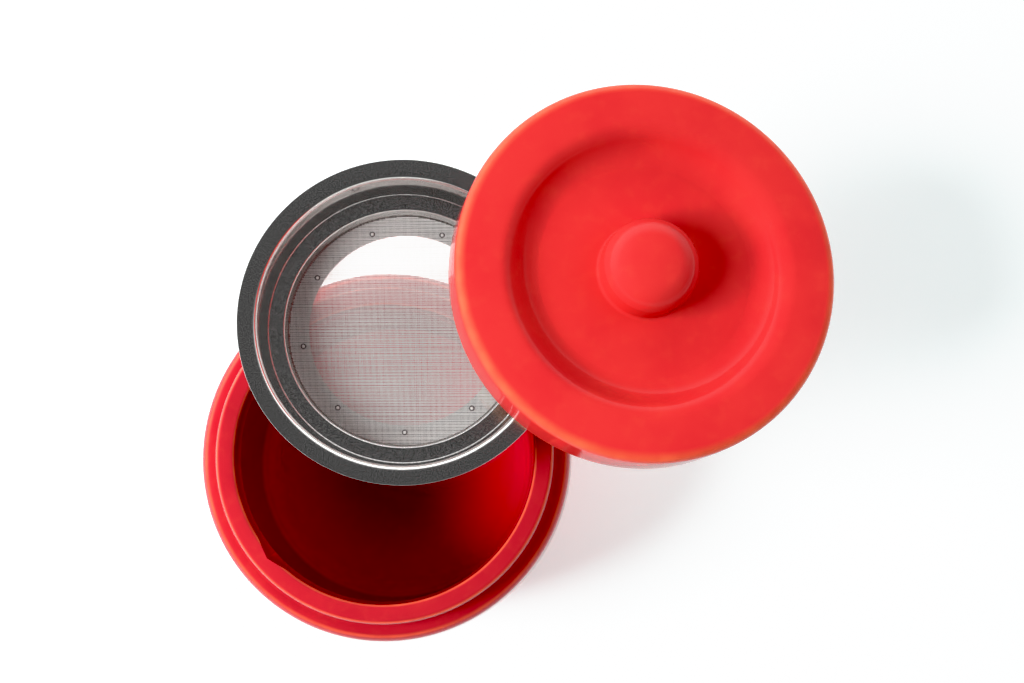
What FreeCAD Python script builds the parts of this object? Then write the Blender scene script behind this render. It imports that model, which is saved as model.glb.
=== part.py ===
import FreeCAD, Part
import math
import os
import re

import Sketcher

# A stoneware grease container with a steel strainer: jar, lid, strainer frame, wire mesh and its
# spot welds. Millimetres, +Z up. The origin is the centre of the jar's foot, on the surface that
# it stands on. The strainer lies across the +Y side of the jar's mouth, as it does while it
# drips, and the lid lies over the strainer's flange.

# ---------------------------------------------------------------- driving dimensions
SIZES = {
    # jar, outside
    "jar_height": 104.0,
    "mouth_radius": 50.2,
    "neck_wall": 6.5,
    "neck_height": 11.0,
    "shoulder_step": 0.7,        # how far the shoulder stands out past the lid's skirt
    "belly_swell": 3.4,          # how far the belly stands out past the shoulder
    "belly_height": 64.0,
    "foot_inset": 7.3,           # how far the foot stands in from the belly
    "foot_ring_width": 8.0,
    "foot_recess": 1.5,
    # jar, inside
    "bore_depth": 14.0,          # straight part of the mouth, down from the rim
    "undercut_drop": 12.0,       # height over which the mouth widens to the cavity
    "body_wall": 6.8,
    "floor_thickness": 7.0,
    # jar, roundings
    "rim_outer_rounding": 1.8,
    "rim_inner_rounding": 1.2,
    "shoulder_rounding": 4.5,
    "shoulder_cove": 2.8,
    "foot_rounding": 3.0,
    "undercut_rounding": 8.0,
    "floor_cove": 6.0,
    # pouring notch in the rim's inner edge
    "notch_azimuth": 222.4,
    "notch_width": 18.2,
    "notch_depth": 1.8,
    "notch_drop": 16.0,
    "notch_overrun": 1.0,        # how far the cutter passes the rim and the notch's foot
    # strainer frame, one pressed sheet
    "sheet_thickness": 0.5,
    "strainer_clearance": 2.8,   # between the strainer's wall and the jar's mouth
    "flange_bearing": 2.8,       # how far the flange reaches over the jar's rim
    "strainer_height": 22.7,
    "wall_taper": 1.45,          # how much the wall narrows on its way down
    "step_height": 6.7,          # underside of the strainer to the top of its step
    "step_width": 5.4,
    "cup_taper": 0.5,
    "bottom_ledge_width": 7.35,
    "flange_bend": 1.5,
    "step_bend": 0.9,
    # wire mesh and spot welds
    "mesh_clearance": 0.6,
    "mesh_thickness": 0.4,
    "mesh_edge_width": 7.0,      # solid edge that lies on the bottom ledge and takes the welds
    "grid_half_count": 5,        # openings from the mesh's middle to its solid edge
    "grid_bar": 1.8,
    "weld_count": 9,
    "weld_inset": 4.55,          # from the cup's wall to the circle of welds
    "weld_first_azimuth": 30.0,
    "weld_radius": 0.55,
    "weld_height": 0.2,
    # lid
    "skirt_clearance": 0.7,      # between the jar's neck and the lid's skirt
    "skirt_wall": 4.8,
    "skirt_draft": 0.9,
    "lid_height": 17.3,
    "lid_plate": 5.0,
    "lid_rim_width": 17.3,       # flat ring round the recess
    "recess_slope": 5.6,
    "recess_floor_height": 10.5,
    "dish_slope": 9.3,           # from the recess wall's foot to the dish's lowest circle
    "plug_clearance": 1.9,       # between the lid's underside and the strainer's wall
    "plug_draft": 1.5,
    "plug_height": 5.5,          # underside of the plug above the skirt's foot
    "lid_rounding": 3.5,
    "recess_rounding": 3.0,
    "recess_cove": 3.0,
    "skirt_outer_rounding": 1.0,
    "skirt_inner_rounding": 2.5,
    # knob, in one with the lid
    "knob_radius": 15.2,
    "knob_foot_height": 11.0,
    "knob_side_height": 6.5,
    "knob_dome": 9.5,
    "knob_shoulder": 5.0,        # radius with which its side turns over into the crown
    "knob_root_cove": 4.0,
    # where the loose pieces lie
    "seat_gap": 0.3,             # between pieces that only rest on each other
    "strainer_x": 6.3,
    "strainer_y": 41.5,
    "lid_x": 82.5,
    "lid_y": 55.9,
    "lid_tilt": 4.8,
    "lid_tilt_azimuth": 24.0,    # the way in which the lid leans down
}

# ---------------------------------------------------------------- sizes used by several pieces
NECK_RADIUS = "mouth_radius + neck_wall"
LEDGE_HEIGHT = "jar_height - neck_height"
SKIRT_INNER = "mouth_radius + neck_wall + skirt_clearance"
SKIRT_OUTER = "mouth_radius + neck_wall + skirt_clearance + skirt_wall"
SHOULDER_RADIUS = f"{SKIRT_OUTER} + shoulder_step"
BELLY_RADIUS = f"{SHOULDER_RADIUS} + belly_swell"
FOOT_RADIUS = f"{BELLY_RADIUS} - foot_inset"
RECESS_RADIUS = f"{SKIRT_OUTER} - lid_rim_width"
RECESS_FLOOR_RADIUS = f"{RECESS_RADIUS} - recess_slope"
KNOB_SHOULDER_CENTRE = "(knob_radius - knob_shoulder)"
# radius of the knob's crown, which runs on from its shoulder without a kink
KNOB_CROWN = (f"(({KNOB_SHOULDER_CENTRE} ^ 2 + knob_dome ^ 2 - knob_shoulder ^ 2)"
              " / (2 * (knob_dome - knob_shoulder)))")
FLANGE_RADIUS = "mouth_radius + flange_bearing"
WALL_RADIUS = "mouth_radius - strainer_clearance"
STEP_RADIUS = "mouth_radius - strainer_clearance - wall_taper"
CUP_RADIUS = "mouth_radius - strainer_clearance - wall_taper - step_width"
CUP_FOOT_RADIUS = "mouth_radius - strainer_clearance - wall_taper - step_width - cup_taper"
DRAIN_RADIUS = f"{CUP_FOOT_RADIUS} - bottom_ledge_width"
MESH_RADIUS = f"{CUP_FOOT_RADIUS} - sheet_thickness - mesh_clearance"
GRID_RADIUS = f"({MESH_RADIUS} - mesh_edge_width)"
GRID_PITCH = f"{GRID_RADIUS} / grid_half_count"
WELD_CIRCLE = f"{CUP_FOOT_RADIUS} - sheet_thickness - weld_inset"
FRAME_BASE = "jar_height + seat_gap"

document = FreeCAD.newDocument("GreaseContainer")
sheet = document.addObject("Spreadsheet::Sheet", "Sizes")
for row, (alias, value) in enumerate(SIZES.items(), start=1):
    sheet.set(f"A{row}", alias)
    sheet.set(f"B{row}", str(value))
    sheet.setAlias(f"B{row}", alias)
document.recompute()


# ---------------------------------------------------------------- helpers
def formula(text):
    """Point every dimension named in a formula at its cell of the sheet."""
    return re.sub(r"[a-z]\w+", lambda word: f"Sizes.{word[0]}" if word[0] in SIZES else word[0], text)


def size(text):
    """The present value of a formula."""
    return float(sheet.evalExpression(formula(text)))


def make_body(label):
    body = document.addObject("PartDesign::Body", label)
    body.Label = label
    return body


def origin_plane(body, role):
    return next(item for item in body.Origin.OriginFeatures if item.Role == role), [""]


def sketch_on(body, role, name):
    """A sketch on one of the body's own origin planes."""
    sketch = body.newObject("Sketcher::SketchObject", name)
    sketch.AttachmentSupport = origin_plane(body, role)
    sketch.MapMode = "FlatFace"
    return sketch


def hold_point(sketch, curve, end, way, text):
    """Hold a point of a curve at a distance across or up; "0" puts it on the sketch's axis."""
    kind, axis = {"across": ("DistanceX", -2), "up": ("DistanceY", -1)}[way]
    if text == "0":
        sketch.addConstraint(Sketcher.Constraint("PointOnObject", curve, end, axis))
        return
    number = sketch.addConstraint(Sketcher.Constraint(kind, -1, 1, curve, end, size(text)))
    sketch.setExpression(f"Constraints[{number}]", formula(text))


def place_point(sketch, curve, end, across, up):
    hold_point(sketch, curve, end, "across", across)
    hold_point(sketch, curve, end, "up", up)


def arc_centre(start, finish, across, up):
    """Centre of the arc between two points, when one coordinate of the centre is known."""
    chord = finish - start
    middle = (start + finish) * 0.5
    if across is None:
        return FreeCAD.Vector(middle.x + (middle.y - up) * chord.y / chord.x, up, 0)
    return FreeCAD.Vector(across, middle.y + (middle.x - across) * chord.x / chord.y, 0)


def add_arc(sketch, start, finish, known):
    """An arc whose centre lies at a known distance across or up; gives its end numbers."""
    key, text = known
    value = size(text)
    centre = arc_centre(start, finish, *((value, None) if key == "across" else (None, value)))
    turns_left = (start - centre).cross(finish - centre).z > 0
    first, last = (start, finish) if turns_left else (finish, start)
    circle = Part.Circle(centre, FreeCAD.Vector(0, 0, 1), (start - centre).Length)
    curve = sketch.addGeometry(Part.ArcOfCircle(circle, circle.parameter(first), circle.parameter(last)))
    hold_point(sketch, curve, 3, key, text)
    return (curve, 1, 2) if turns_left else (curve, 2, 1)


def draw_outline(sketch, corners):
    """A closed outline through corners of (across, up) formulas.

    A third value makes the run from that corner to the next an arc: which coordinate of its
    centre is known, "across" or "up", and that coordinate's formula.
    """
    points = [FreeCAD.Vector(size(corner[0]), size(corner[1]), 0) for corner in corners]
    runs = []
    for corner, start, finish in zip(corners, points, points[1:] + points[:1]):
        if len(corner) == 3:
            runs.append(add_arc(sketch, start, finish, corner[2]))
        else:
            runs.append((sketch.addGeometry(Part.LineSegment(start, finish)), 1, 2))
    for before, after in zip(runs[-1:] + runs[:-1], runs):
        sketch.addConstraint(Sketcher.Constraint("Coincident", before[0], before[2], after[0], after[1]))
    for corner, run in zip(corners, runs):
        place_point(sketch, run[0], run[1], corner[0], corner[1])


def turn_outline(body, corners):
    """Revolve an outline of (radius, height) corners about the body's vertical axis."""
    sketch = sketch_on(body, "XZ_Plane", f"{body.Label}_outline")
    draw_outline(sketch, corners)
    document.recompute()
    turned = body.newObject("PartDesign::Revolution", f"{body.Label}_turned")
    turned.Profile = sketch
    turned.ReferenceAxis = (sketch, ["V_Axis"])
    turned.Angle = 360
    sketch.Visibility = False
    document.recompute()


def round_edges(body, rounding, places, limit="1000"):
    """Round the circular edges at (radius, height) places, no further than a limit allows."""
    base = body.Tip
    wanted = [(size(radius), size(height)) for radius, height in places]
    names = []
    for number, edge in enumerate(base.Shape.Edges, start=1):
        if edge.Degenerated or not isinstance(edge.Curve, Part.Circle):
            continue
        found = (edge.Curve.Radius, edge.Curve.Center.z)
        if any(math.dist(found, place) < 0.01 for place in wanted):
            names.append(f"Edge{number}")
    if len(names) != len(wanted):
        raise RuntimeError(f"{body.Label}: {rounding} finds {len(names)} of {len(wanted)} edges")
    fillet = body.newObject("PartDesign::Fillet", f"{body.Label}_rounding")
    fillet.Base = (base, names)
    fillet.setExpression("Radius", formula(f"min({rounding}; {limit})"))
    document.recompute()


def at(x, y, z):
    return FreeCAD.Placement(FreeCAD.Vector(size(x), size(y), size(z)), FreeCAD.Rotation())


# ---------------------------------------------------------------- jar
def make_jar():
    """The jar's wall in section: foot ring, belly, shoulder ledge, neck, mouth, cavity, floor."""
    body = make_body("jar")
    cavity = f"{BELLY_RADIUS} - body_wall"
    cavity_foot = f"{FOOT_RADIUS} - body_wall"
    ring_inner = f"{FOOT_RADIUS} - foot_ring_width"
    turn_outline(body, [
        (FOOT_RADIUS, "0", ("up", "belly_height")),
        (BELLY_RADIUS, "belly_height", ("up", "belly_height")),
        (SHOULDER_RADIUS, LEDGE_HEIGHT),
        (NECK_RADIUS, LEDGE_HEIGHT),
        (NECK_RADIUS, "jar_height"),
        ("mouth_radius", "jar_height"),
        ("mouth_radius", "jar_height - bore_depth"),
        (cavity, "jar_height - bore_depth - undercut_drop"),
        (cavity, "belly_height", ("up", "belly_height")),
        (cavity_foot, "floor_thickness"),
        ("0", "floor_thickness"),
        ("0", "foot_recess"),
        (ring_inner, "foot_recess"),
        (ring_inner, "0"),
    ])
    round_edges(body, "floor_cove", [(cavity_foot, "floor_thickness")])
    round_edges(body, "undercut_rounding", [
        ("mouth_radius", "jar_height - bore_depth"),
        (cavity, "jar_height - bore_depth - undercut_drop"),
    ])
    round_edges(body, "shoulder_rounding", [(SHOULDER_RADIUS, LEDGE_HEIGHT)])
    round_edges(body, "shoulder_cove", [(NECK_RADIUS, LEDGE_HEIGHT)])
    round_edges(body, "rim_outer_rounding", [(NECK_RADIUS, "jar_height")], "neck_wall / 3")
    round_edges(body, "rim_inner_rounding", [("mouth_radius", "jar_height")], "neck_wall / 3")
    round_edges(body, "foot_rounding", [(FOOT_RADIUS, "0")], "foot_ring_width / 2")
    cut_notch(body)
    return body


def notch_section(body, name, rise):
    """The notch's V, with its tip outward, at a height above or below the rim."""
    sketch = sketch_on(body, "XY_Plane", name)
    turn = FreeCAD.Rotation(FreeCAD.Vector(0, 0, 1), size("notch_azimuth"))
    sketch.AttachmentOffset = FreeCAD.Placement(FreeCAD.Vector(0, 0, size(f"jar_height + {rise}")), turn)
    sketch.setExpression("AttachmentOffset.Base.z", formula(f"jar_height + {rise}"))
    tip = f"mouth_radius + notch_depth * (1 + ({rise}) / notch_drop)"
    chord = "sqrt(mouth_radius ^ 2 - (notch_width / 2) ^ 2)"
    heel = f"{tip} - 2 * (mouth_radius + notch_depth - {chord})"
    draw_outline(sketch, [(tip, "0"), (heel, "notch_width"), (heel, "-notch_width")])
    return sketch


def cut_notch(body):
    """A V whose valley runs out of the rim's inner edge and dies out in the mouth below."""
    before = body.Shape.Volume
    top = notch_section(body, "notch_top", "notch_overrun")
    foot = notch_section(body, "notch_foot", "0 - notch_drop - notch_overrun")
    document.recompute()
    notch = body.newObject("PartDesign::SubtractiveLoft", "notch")
    notch.Profile = top
    notch.Sections = [foot]
    notch.Ruled = True
    document.recompute()
    if not body.Shape.Volume < before:
        raise RuntimeError("the pouring notch cuts nothing")


# ---------------------------------------------------------------- strainer
def make_strainer_frame():
    """One sheet pressed to shape: flange, tapered wall, step, cup and bottom ledge."""
    body = make_body("strainer_frame")
    sheet_in = " - sheet_thickness"
    turn_outline(body, [
        (DRAIN_RADIUS, "0"),
        (CUP_FOOT_RADIUS, "0"),
        (CUP_RADIUS, f"step_height{sheet_in}"),
        (STEP_RADIUS, f"step_height{sheet_in}"),
        (WALL_RADIUS, f"strainer_height{sheet_in}"),
        (FLANGE_RADIUS, f"strainer_height{sheet_in}"),
        (FLANGE_RADIUS, "strainer_height"),
        (WALL_RADIUS + sheet_in, "strainer_height"),
        (STEP_RADIUS + sheet_in, "step_height"),
        (CUP_RADIUS + sheet_in, "step_height"),
        (CUP_FOOT_RADIUS + sheet_in, "sheet_thickness"),
        (DRAIN_RADIUS, "sheet_thickness"),
    ])
    round_edges(body, "flange_bend", [(WALL_RADIUS + sheet_in, "strainer_height")])
    round_edges(body, "flange_bend - sheet_thickness", [(WALL_RADIUS, f"strainer_height{sheet_in}")])
    round_edges(body, "step_bend", [
        (STEP_RADIUS, f"step_height{sheet_in}"),
        (CUP_RADIUS + sheet_in, "step_height"),
        (CUP_FOOT_RADIUS, "0"),
    ])
    round_edges(body, "step_bend - sheet_thickness", [
        (STEP_RADIUS + sheet_in, "step_height"),
        (CUP_RADIUS, f"step_height{sheet_in}"),
        (CUP_FOOT_RADIUS + sheet_in, "sheet_thickness"),
    ])
    body.Placement = at("strainer_x", "strainer_y", FRAME_BASE)
    return body


def make_strainer_mesh():
    """The woven disc as a coarse grid in a solid edge, lying on the frame's bottom ledge."""
    body = make_body("strainer_mesh")
    turn_outline(body, [("0", "0"), (MESH_RADIUS, "0"), (MESH_RADIUS, "mesh_thickness"),
                        ("0", "mesh_thickness")])
    cut_grid(body)
    turn_outline(body, [(GRID_RADIUS, "0"), (MESH_RADIUS, "0"), (MESH_RADIUS, "mesh_thickness"),
                        (GRID_RADIUS, "mesh_thickness")])
    body.Placement = at("strainer_x", "strainer_y", f"{FRAME_BASE} + sheet_thickness")
    return body


def cut_grid(body):
    """One square opening beside the middle, repeated both ways and mirrored to all quarters."""
    sketch = sketch_on(body, "XY_Plane", "first_opening")
    near, far = "grid_bar / 2", f"{GRID_PITCH} - grid_bar / 2"
    draw_outline(sketch, [(near, near), (far, near), (far, far), (near, far)])
    document.recompute()
    opening = body.newObject("PartDesign::Pocket", "opening")
    opening.Profile = sketch
    opening.Type = "ThroughAll"
    opening.Midplane = True
    sketch.Visibility = False
    grid = body.newObject("PartDesign::MultiTransform", "grid")
    grid.Originals = [opening]
    grid.Transformations = [
        grid_row(body, sketch, "H_Axis"),
        grid_row(body, sketch, "V_Axis"),
        grid_half(body, "YZ_Plane"),
        grid_half(body, "XZ_Plane"),
    ]
    body.Tip = grid
    document.recompute()


def grid_row(body, sketch, axis):
    row = body.newObject("PartDesign::LinearPattern", "grid_row")
    row.Direction = (sketch, [axis])
    row.Mode = "Spacing"
    row.setExpression("Offset", formula(GRID_PITCH))
    row.setExpression("Occurrences", formula("grid_half_count"))
    return row


def grid_half(body, role):
    half = body.newObject("PartDesign::Mirrored", "grid_half")
    half.MirrorPlane = origin_plane(body, role)
    return half


def make_mesh_welds():
    """A ring of equal flat nuggets on the mesh, above the bottom ledge."""
    body = make_body("mesh_welds")
    body.AllowCompound = True
    sketch = sketch_on(body, "XY_Plane", "weld_circle")
    centre = FreeCAD.Vector(size(WELD_CIRCLE), 0, 0)
    circle = sketch.addGeometry(Part.Circle(centre, FreeCAD.Vector(0, 0, 1), size("weld_radius")))
    place_point(sketch, circle, 3, WELD_CIRCLE, "0")
    number = sketch.addConstraint(Sketcher.Constraint("Radius", circle, size("weld_radius")))
    sketch.setExpression(f"Constraints[{number}]", formula("weld_radius"))
    document.recompute()
    nugget = body.newObject("PartDesign::Pad", "weld_nugget")
    nugget.Profile = sketch
    nugget.setExpression("Length", formula("weld_height"))
    document.recompute()
    ring = body.newObject("PartDesign::PolarPattern", "weld_ring")
    ring.Originals = [nugget]
    ring.Axis = (sketch, ["N_Axis"])
    ring.Angle = 360
    ring.setExpression("Occurrences", formula("weld_count"))
    body.Tip = ring
    document.recompute()
    turn = FreeCAD.Rotation(FreeCAD.Vector(0, 0, 1), size("weld_first_azimuth"))
    place = at("strainer_x", "strainer_y", f"{FRAME_BASE} + sheet_thickness + mesh_thickness")
    body.Placement = FreeCAD.Placement(place.Base, turn)
    return body


# ---------------------------------------------------------------- lid
def make_lid():
    """Skirt, top plate, dished recess, knob, and the plug that dips into the strainer."""
    body = make_body("lid")
    plug = f"{WALL_RADIUS} - sheet_thickness - plug_clearance"
    side_top = "knob_foot_height + knob_side_height"
    crown_share = f"{KNOB_CROWN} / ({KNOB_CROWN} - knob_shoulder)"
    turn_outline(body, [
        (SKIRT_INNER, "0"),
        (SKIRT_OUTER, "0"),
        (f"{SKIRT_OUTER} - skirt_draft", "lid_height"),
        (RECESS_RADIUS, "lid_height"),
        (RECESS_FLOOR_RADIUS, "recess_floor_height", ("across", f"{RECESS_FLOOR_RADIUS} - dish_slope")),
        ("knob_radius", "knob_foot_height"),
        ("knob_radius", side_top, ("up", side_top)),
        (f"{KNOB_SHOULDER_CENTRE} * {crown_share}",
         f"{side_top} + (knob_dome - {KNOB_CROWN}) * (1 - {crown_share})", ("across", "0")),
        ("0", f"{side_top} + knob_dome"),
        ("0", "plug_height"),
        (f"{plug} - plug_draft", "plug_height"),
        (plug, "lid_height - lid_plate"),
        (SKIRT_INNER, "lid_height - lid_plate"),
    ])
    round_edges(body, "lid_rounding", [(f"{SKIRT_OUTER} - skirt_draft", "lid_height")], "skirt_wall")
    round_edges(body, "recess_rounding", [(RECESS_RADIUS, "lid_height")])
    round_edges(body, "recess_cove", [(RECESS_FLOOR_RADIUS, "recess_floor_height")])
    round_edges(body, "knob_root_cove", [("knob_radius", "knob_foot_height")], "knob_side_height * 0.9")
    round_edges(body, "skirt_outer_rounding", [(SKIRT_OUTER, "0")], "skirt_wall / 4")
    round_edges(body, "skirt_inner_rounding", [(SKIRT_INNER, "0")], "skirt_wall / 1.8")
    body.Placement = lid_place()
    return body


def lid_place():
    """Where the leaning lid lies, just clear of the strainer's flange.

    The lid's skirt crosses the flange's edge at two points. The one that lies further the way
    in which the lid leans is where it would touch first, and it sets the lid's height.
    """
    lean = math.radians(size("lid_tilt_azimuth"))
    reach = FreeCAD.Vector(size("lid_x - strainer_x"), size("lid_y - strainer_y"), 0)
    flange, skirt = size(FLANGE_RADIUS), size(SKIRT_INNER)
    spread = (flange ** 2 + reach.Length ** 2 - skirt ** 2) / (2 * flange * reach.Length)
    turn = math.acos(max(-1.0, min(1.0, spread)))
    heading = math.atan2(reach.y, reach.x)
    touch = max(flange * math.cos(heading + side * turn - lean) for side in (-1, 1))
    back = reach.Length * math.cos(heading - lean) - touch
    top = size(f"{FRAME_BASE} + strainer_height + seat_gap")
    height = top - back * math.tan(math.radians(size("lid_tilt")))
    axis = FreeCAD.Vector(-math.sin(lean), math.cos(lean), 0)
    tilt = FreeCAD.Rotation(axis, size("lid_tilt"))
    return FreeCAD.Placement(FreeCAD.Vector(size("lid_x"), size("lid_y"), height), tilt)


# ---------------------------------------------------------------- build, check and write
def check(pieces):
    """Stop if any feature failed or any piece is empty or broken."""
    for item in document.Objects:
        if {"Invalid", "Error"} & set(item.State):
            raise RuntimeError(f"{item.Label} failed: {item.State}")
    for piece in pieces:
        if piece.Shape.isNull() or not piece.Shape.isValid() or not piece.Shape.Solids:
            raise RuntimeError(f"{piece.Label} has no sound solid")


pieces = [make_jar(), make_strainer_frame(), make_strainer_mesh(), make_mesh_welds(), make_lid()]
document.recompute()
check(pieces)
os.makedirs("parts", exist_ok=True)
for piece in pieces:
    piece.Shape.exportStep(f"parts/{piece.Label}.step")
    box = piece.Shape.BoundBox
    print(f"{piece.Label}: {len(piece.Shape.Solids)} solid(s), {piece.Shape.Volume / 1000:.2f} cm3, "
          f"x {box.XMin:.1f}..{box.XMax:.1f}, y {box.YMin:.1f}..{box.YMax:.1f}, "
          f"z {box.ZMin:.1f}..{box.ZMax:.1f}")
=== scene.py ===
# %% [markdown]
# # A stoneware grease container, dressed for its portrait
#
# A red glazed jar stands on a white table with its steel strainer laid across one side of the
# mouth and its lid leaning on the strainer. The construction is finished: the frame that is
# loaded here holds every piece at its real place and size, and this lesson gives each of them its
# surface. Nothing is moved or resized. Everything is in metres, with +Z up and the origin under
# the middle of the jar's foot.

# %% Load the frame
import math
import random

import bpy
from mathutils import Matrix, Vector


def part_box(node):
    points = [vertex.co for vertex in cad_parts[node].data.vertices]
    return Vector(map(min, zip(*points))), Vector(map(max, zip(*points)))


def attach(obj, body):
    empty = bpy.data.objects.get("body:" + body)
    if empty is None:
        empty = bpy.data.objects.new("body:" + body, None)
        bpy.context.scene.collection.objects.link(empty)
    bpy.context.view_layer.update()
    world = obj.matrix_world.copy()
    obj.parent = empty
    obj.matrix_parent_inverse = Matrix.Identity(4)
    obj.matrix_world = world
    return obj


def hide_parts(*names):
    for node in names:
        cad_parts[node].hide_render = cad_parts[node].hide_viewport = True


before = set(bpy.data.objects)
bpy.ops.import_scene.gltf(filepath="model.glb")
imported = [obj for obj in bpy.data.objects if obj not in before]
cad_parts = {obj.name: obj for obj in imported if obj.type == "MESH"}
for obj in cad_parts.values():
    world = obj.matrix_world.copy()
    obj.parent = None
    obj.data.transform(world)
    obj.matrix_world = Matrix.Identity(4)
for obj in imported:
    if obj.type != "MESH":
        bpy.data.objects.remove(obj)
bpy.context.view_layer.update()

MM = 0.001

# %% [markdown]
# ## The camera
#
# The set is looked at from almost straight above, about half a metre up, so the jar shows its
# inside and the lid its face. A camera's place is a point, and its turn is given by three
# directions: what it calls right, what it calls up, and the way back from the picture to the eye.
# A matrix with those three as its columns is the plainest way to write such a view down.

# %% Camera
EYE = Vector((21.6, -16.0, 488.8)) * MM
EYE_RIGHT = Vector((0.99853, 0.0, 0.05413))
EYE_BACK = Vector((-0.05361, -0.13812, 0.98896)).normalized()
LENS_MM = 39.955
SENSOR_MM = 36.0
CLIP_NEAR, CLIP_FAR = 0.01, 20.0


def make_camera():
    data = bpy.data.cameras.new("table_camera")
    data.lens = LENS_MM
    data.sensor_width = SENSOR_MM
    data.clip_start = CLIP_NEAR
    data.clip_end = CLIP_FAR
    camera = bpy.data.objects.new("table_camera", data)
    bpy.context.scene.collection.objects.link(camera)
    up = EYE_BACK.cross(EYE_RIGHT).normalized()
    right = up.cross(EYE_BACK)
    turn = Matrix((right, up, EYE_BACK)).transposed()
    camera.matrix_world = Matrix.Translation(EYE) @ turn.to_4x4()
    bpy.context.scene.camera = camera
    return camera


camera = make_camera()
print("camera at", [round(value, 4) for value in camera.location])

# %% [markdown]
# ## Maths in a shader
#
# A finish is mostly arithmetic: how far is this spot from the axis, how near to that edge, how
# much noise to add. Wrapping a socket in a small class that understands + - * / lets an
# expression be written as it would be on paper, and each sign adds its own Math node. The wire
# stands first in a sum, except after 1.0 and a minus. Colours and vectors don't go through it,
# because a Math node makes them grey.

# %% Wire and Finish


class Wire:
    """An output socket that can be used in sums with other sockets and with numbers."""

    def __init__(self, finish, socket):
        self.finish = finish
        self.socket = socket

    def maths(self, operation, *values):
        return self.finish.node("ShaderNodeMath", {"operation": operation}, *values)

    def __add__(self, other):
        return self.maths("ADD", self, other)

    def __sub__(self, other):
        return self.maths("SUBTRACT", self, other)

    def __rsub__(self, other):
        return self.maths("SUBTRACT", other, self)

    def __mul__(self, other):
        return self.maths("MULTIPLY", self, other)

    def __truediv__(self, other):
        return self.maths("DIVIDE", self, other)

    def __pow__(self, power):
        return self.maths("POWER", self, power)

    def size(self):
        """The value without its sign."""
        return self.maths("ABSOLUTE", self)

    def least(self, other):
        return self.maths("MINIMUM", self, other)

    def most(self, other):
        return self.maths("MAXIMUM", self, other)

    def rise(self, low, high):
        """0 below low, 1 above high, and a smooth climb between them."""
        ease = {"interpolation_type": "SMOOTHSTEP"}
        return self.finish.node("ShaderNodeMapRange", ease, self, low, high, 0.0, 1.0)


class Finish:
    """A material or a world. Its node method adds a node; a mix of colours needs its own."""

    def __init__(self, name, group=bpy.data.materials, shader="BsdfPrincipled",
                 end="OutputMaterial"):
        self.block = group.new(name)
        self.block.use_nodes = True
        self.tree = self.block.node_tree
        self.tree.nodes.clear()
        self.shader = self.tree.nodes.new("ShaderNode" + shader)
        last = self.tree.nodes.new("ShaderNode" + end)
        self.tree.links.new(self.shader.outputs[0], last.inputs["Surface"])

    def node(self, kind, settings, *values, out=0, **named):
        """Add a node: its settings first, then the values or links of its sockets."""
        made = self.tree.nodes.new(kind)
        for key, value in settings.items():
            setattr(made, key, value)
        for key, value in [*enumerate(values), *named.items()]:
            self.feed(made.inputs[key.replace("_", " ") if isinstance(key, str) else key], value)
        return Wire(self, made.outputs[out])

    def feed(self, socket, value):
        if isinstance(value, Wire):
            self.tree.links.new(value.socket, socket)
        else:
            socket.default_value = value

    def surface(self, **sockets):
        """Set the shader's own sockets; Base_Color is the socket called Base Color."""
        for key, value in sockets.items():
            self.feed(self.shader.inputs[key.replace("_", " ")], value)

    def place(self, matrix=None):
        """Object coordinates, or those of a piece that lies as the matrix says."""
        spot = self.node("ShaderNodeTexCoord", {}, out="Object")
        if matrix is None:
            return spot
        back = matrix.inverted()
        turn = back.to_euler("XYZ")
        return self.node("ShaderNodeMapping", {"vector_type": "POINT"}, spot,
                         Location=back.to_translation(), Rotation=turn)

    def noise(self, spot, scale, detail):
        return self.node("ShaderNodeTexNoise", {}, out="Fac", Vector=spot, Scale=scale,
                         Detail=detail)

    def mix(self, share, first, second):
        """A mix of two colours."""
        made = self.tree.nodes.new("ShaderNodeMix")
        made.data_type = "RGBA"
        for name, value in (("Factor_Float", share), ("A_Color", first), ("B_Color", second)):
            socket = next(s for s in made.inputs if s.identifier == name)
            if isinstance(value, tuple):
                value = (*value, 1.0)
            self.feed(socket, value)
        return Wire(self, next(s for s in made.outputs if s.identifier == "Result_Color"))

    def bump(self, height, distance, strength, normal=None):
        named = {"Normal": normal} if normal else {}
        return self.node("ShaderNodeBump", {}, Height=height, Distance=distance,
                         Strength=strength, **named)

    def split(self, spot):
        """The three coordinates of a spot."""
        parts = self.node("ShaderNodeSeparateXYZ", {}, spot).socket.node
        return [Wire(self, parts.outputs[axis]) for axis in "XYZ"]

    def around(self, spot):
        """Distance from the upright axis, and height, of a spot."""
        x, y, z = self.split(spot)
        return (x * x + y * y) ** 0.5, z


# %% [markdown]
# ## The light
#
# Glaze and steel show little of themselves and much of what is around them, so the room comes
# first. It is bright only low down, with white skirting all round and tall white cloth at the
# far side. Higher up it fades, and straight above it is nearly dark, because that is where
# the eye is: flat steel mirrors that patch and turns dark grey, and little light falls to the
# bottom of the jar. The world shader works this out from the direction that a ray takes. Two
# soft lamps do the lighting proper. They are left out of the reflections, as a polarising filter
# would do, because the cloth is what the glaze mirrors.

# %% Room
CLOTH_FAR = 2.5
CLOTH_NEAR = 0.12
SKIRTING = 0.8
CEILING = 0.13
FAR_AZIMUTH = math.radians(100.0)
CLOTH_SIDE = (-0.4, 0.95)
CLOTH_TOP = (18.0, 46.0)
SKIRTING_TOP = (9.0, 15.0)


def climb(height, angles):
    """0 below the first elevation, 1 above the second."""
    return height.rise(*(math.sin(math.radians(angle)) for angle in angles))


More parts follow.
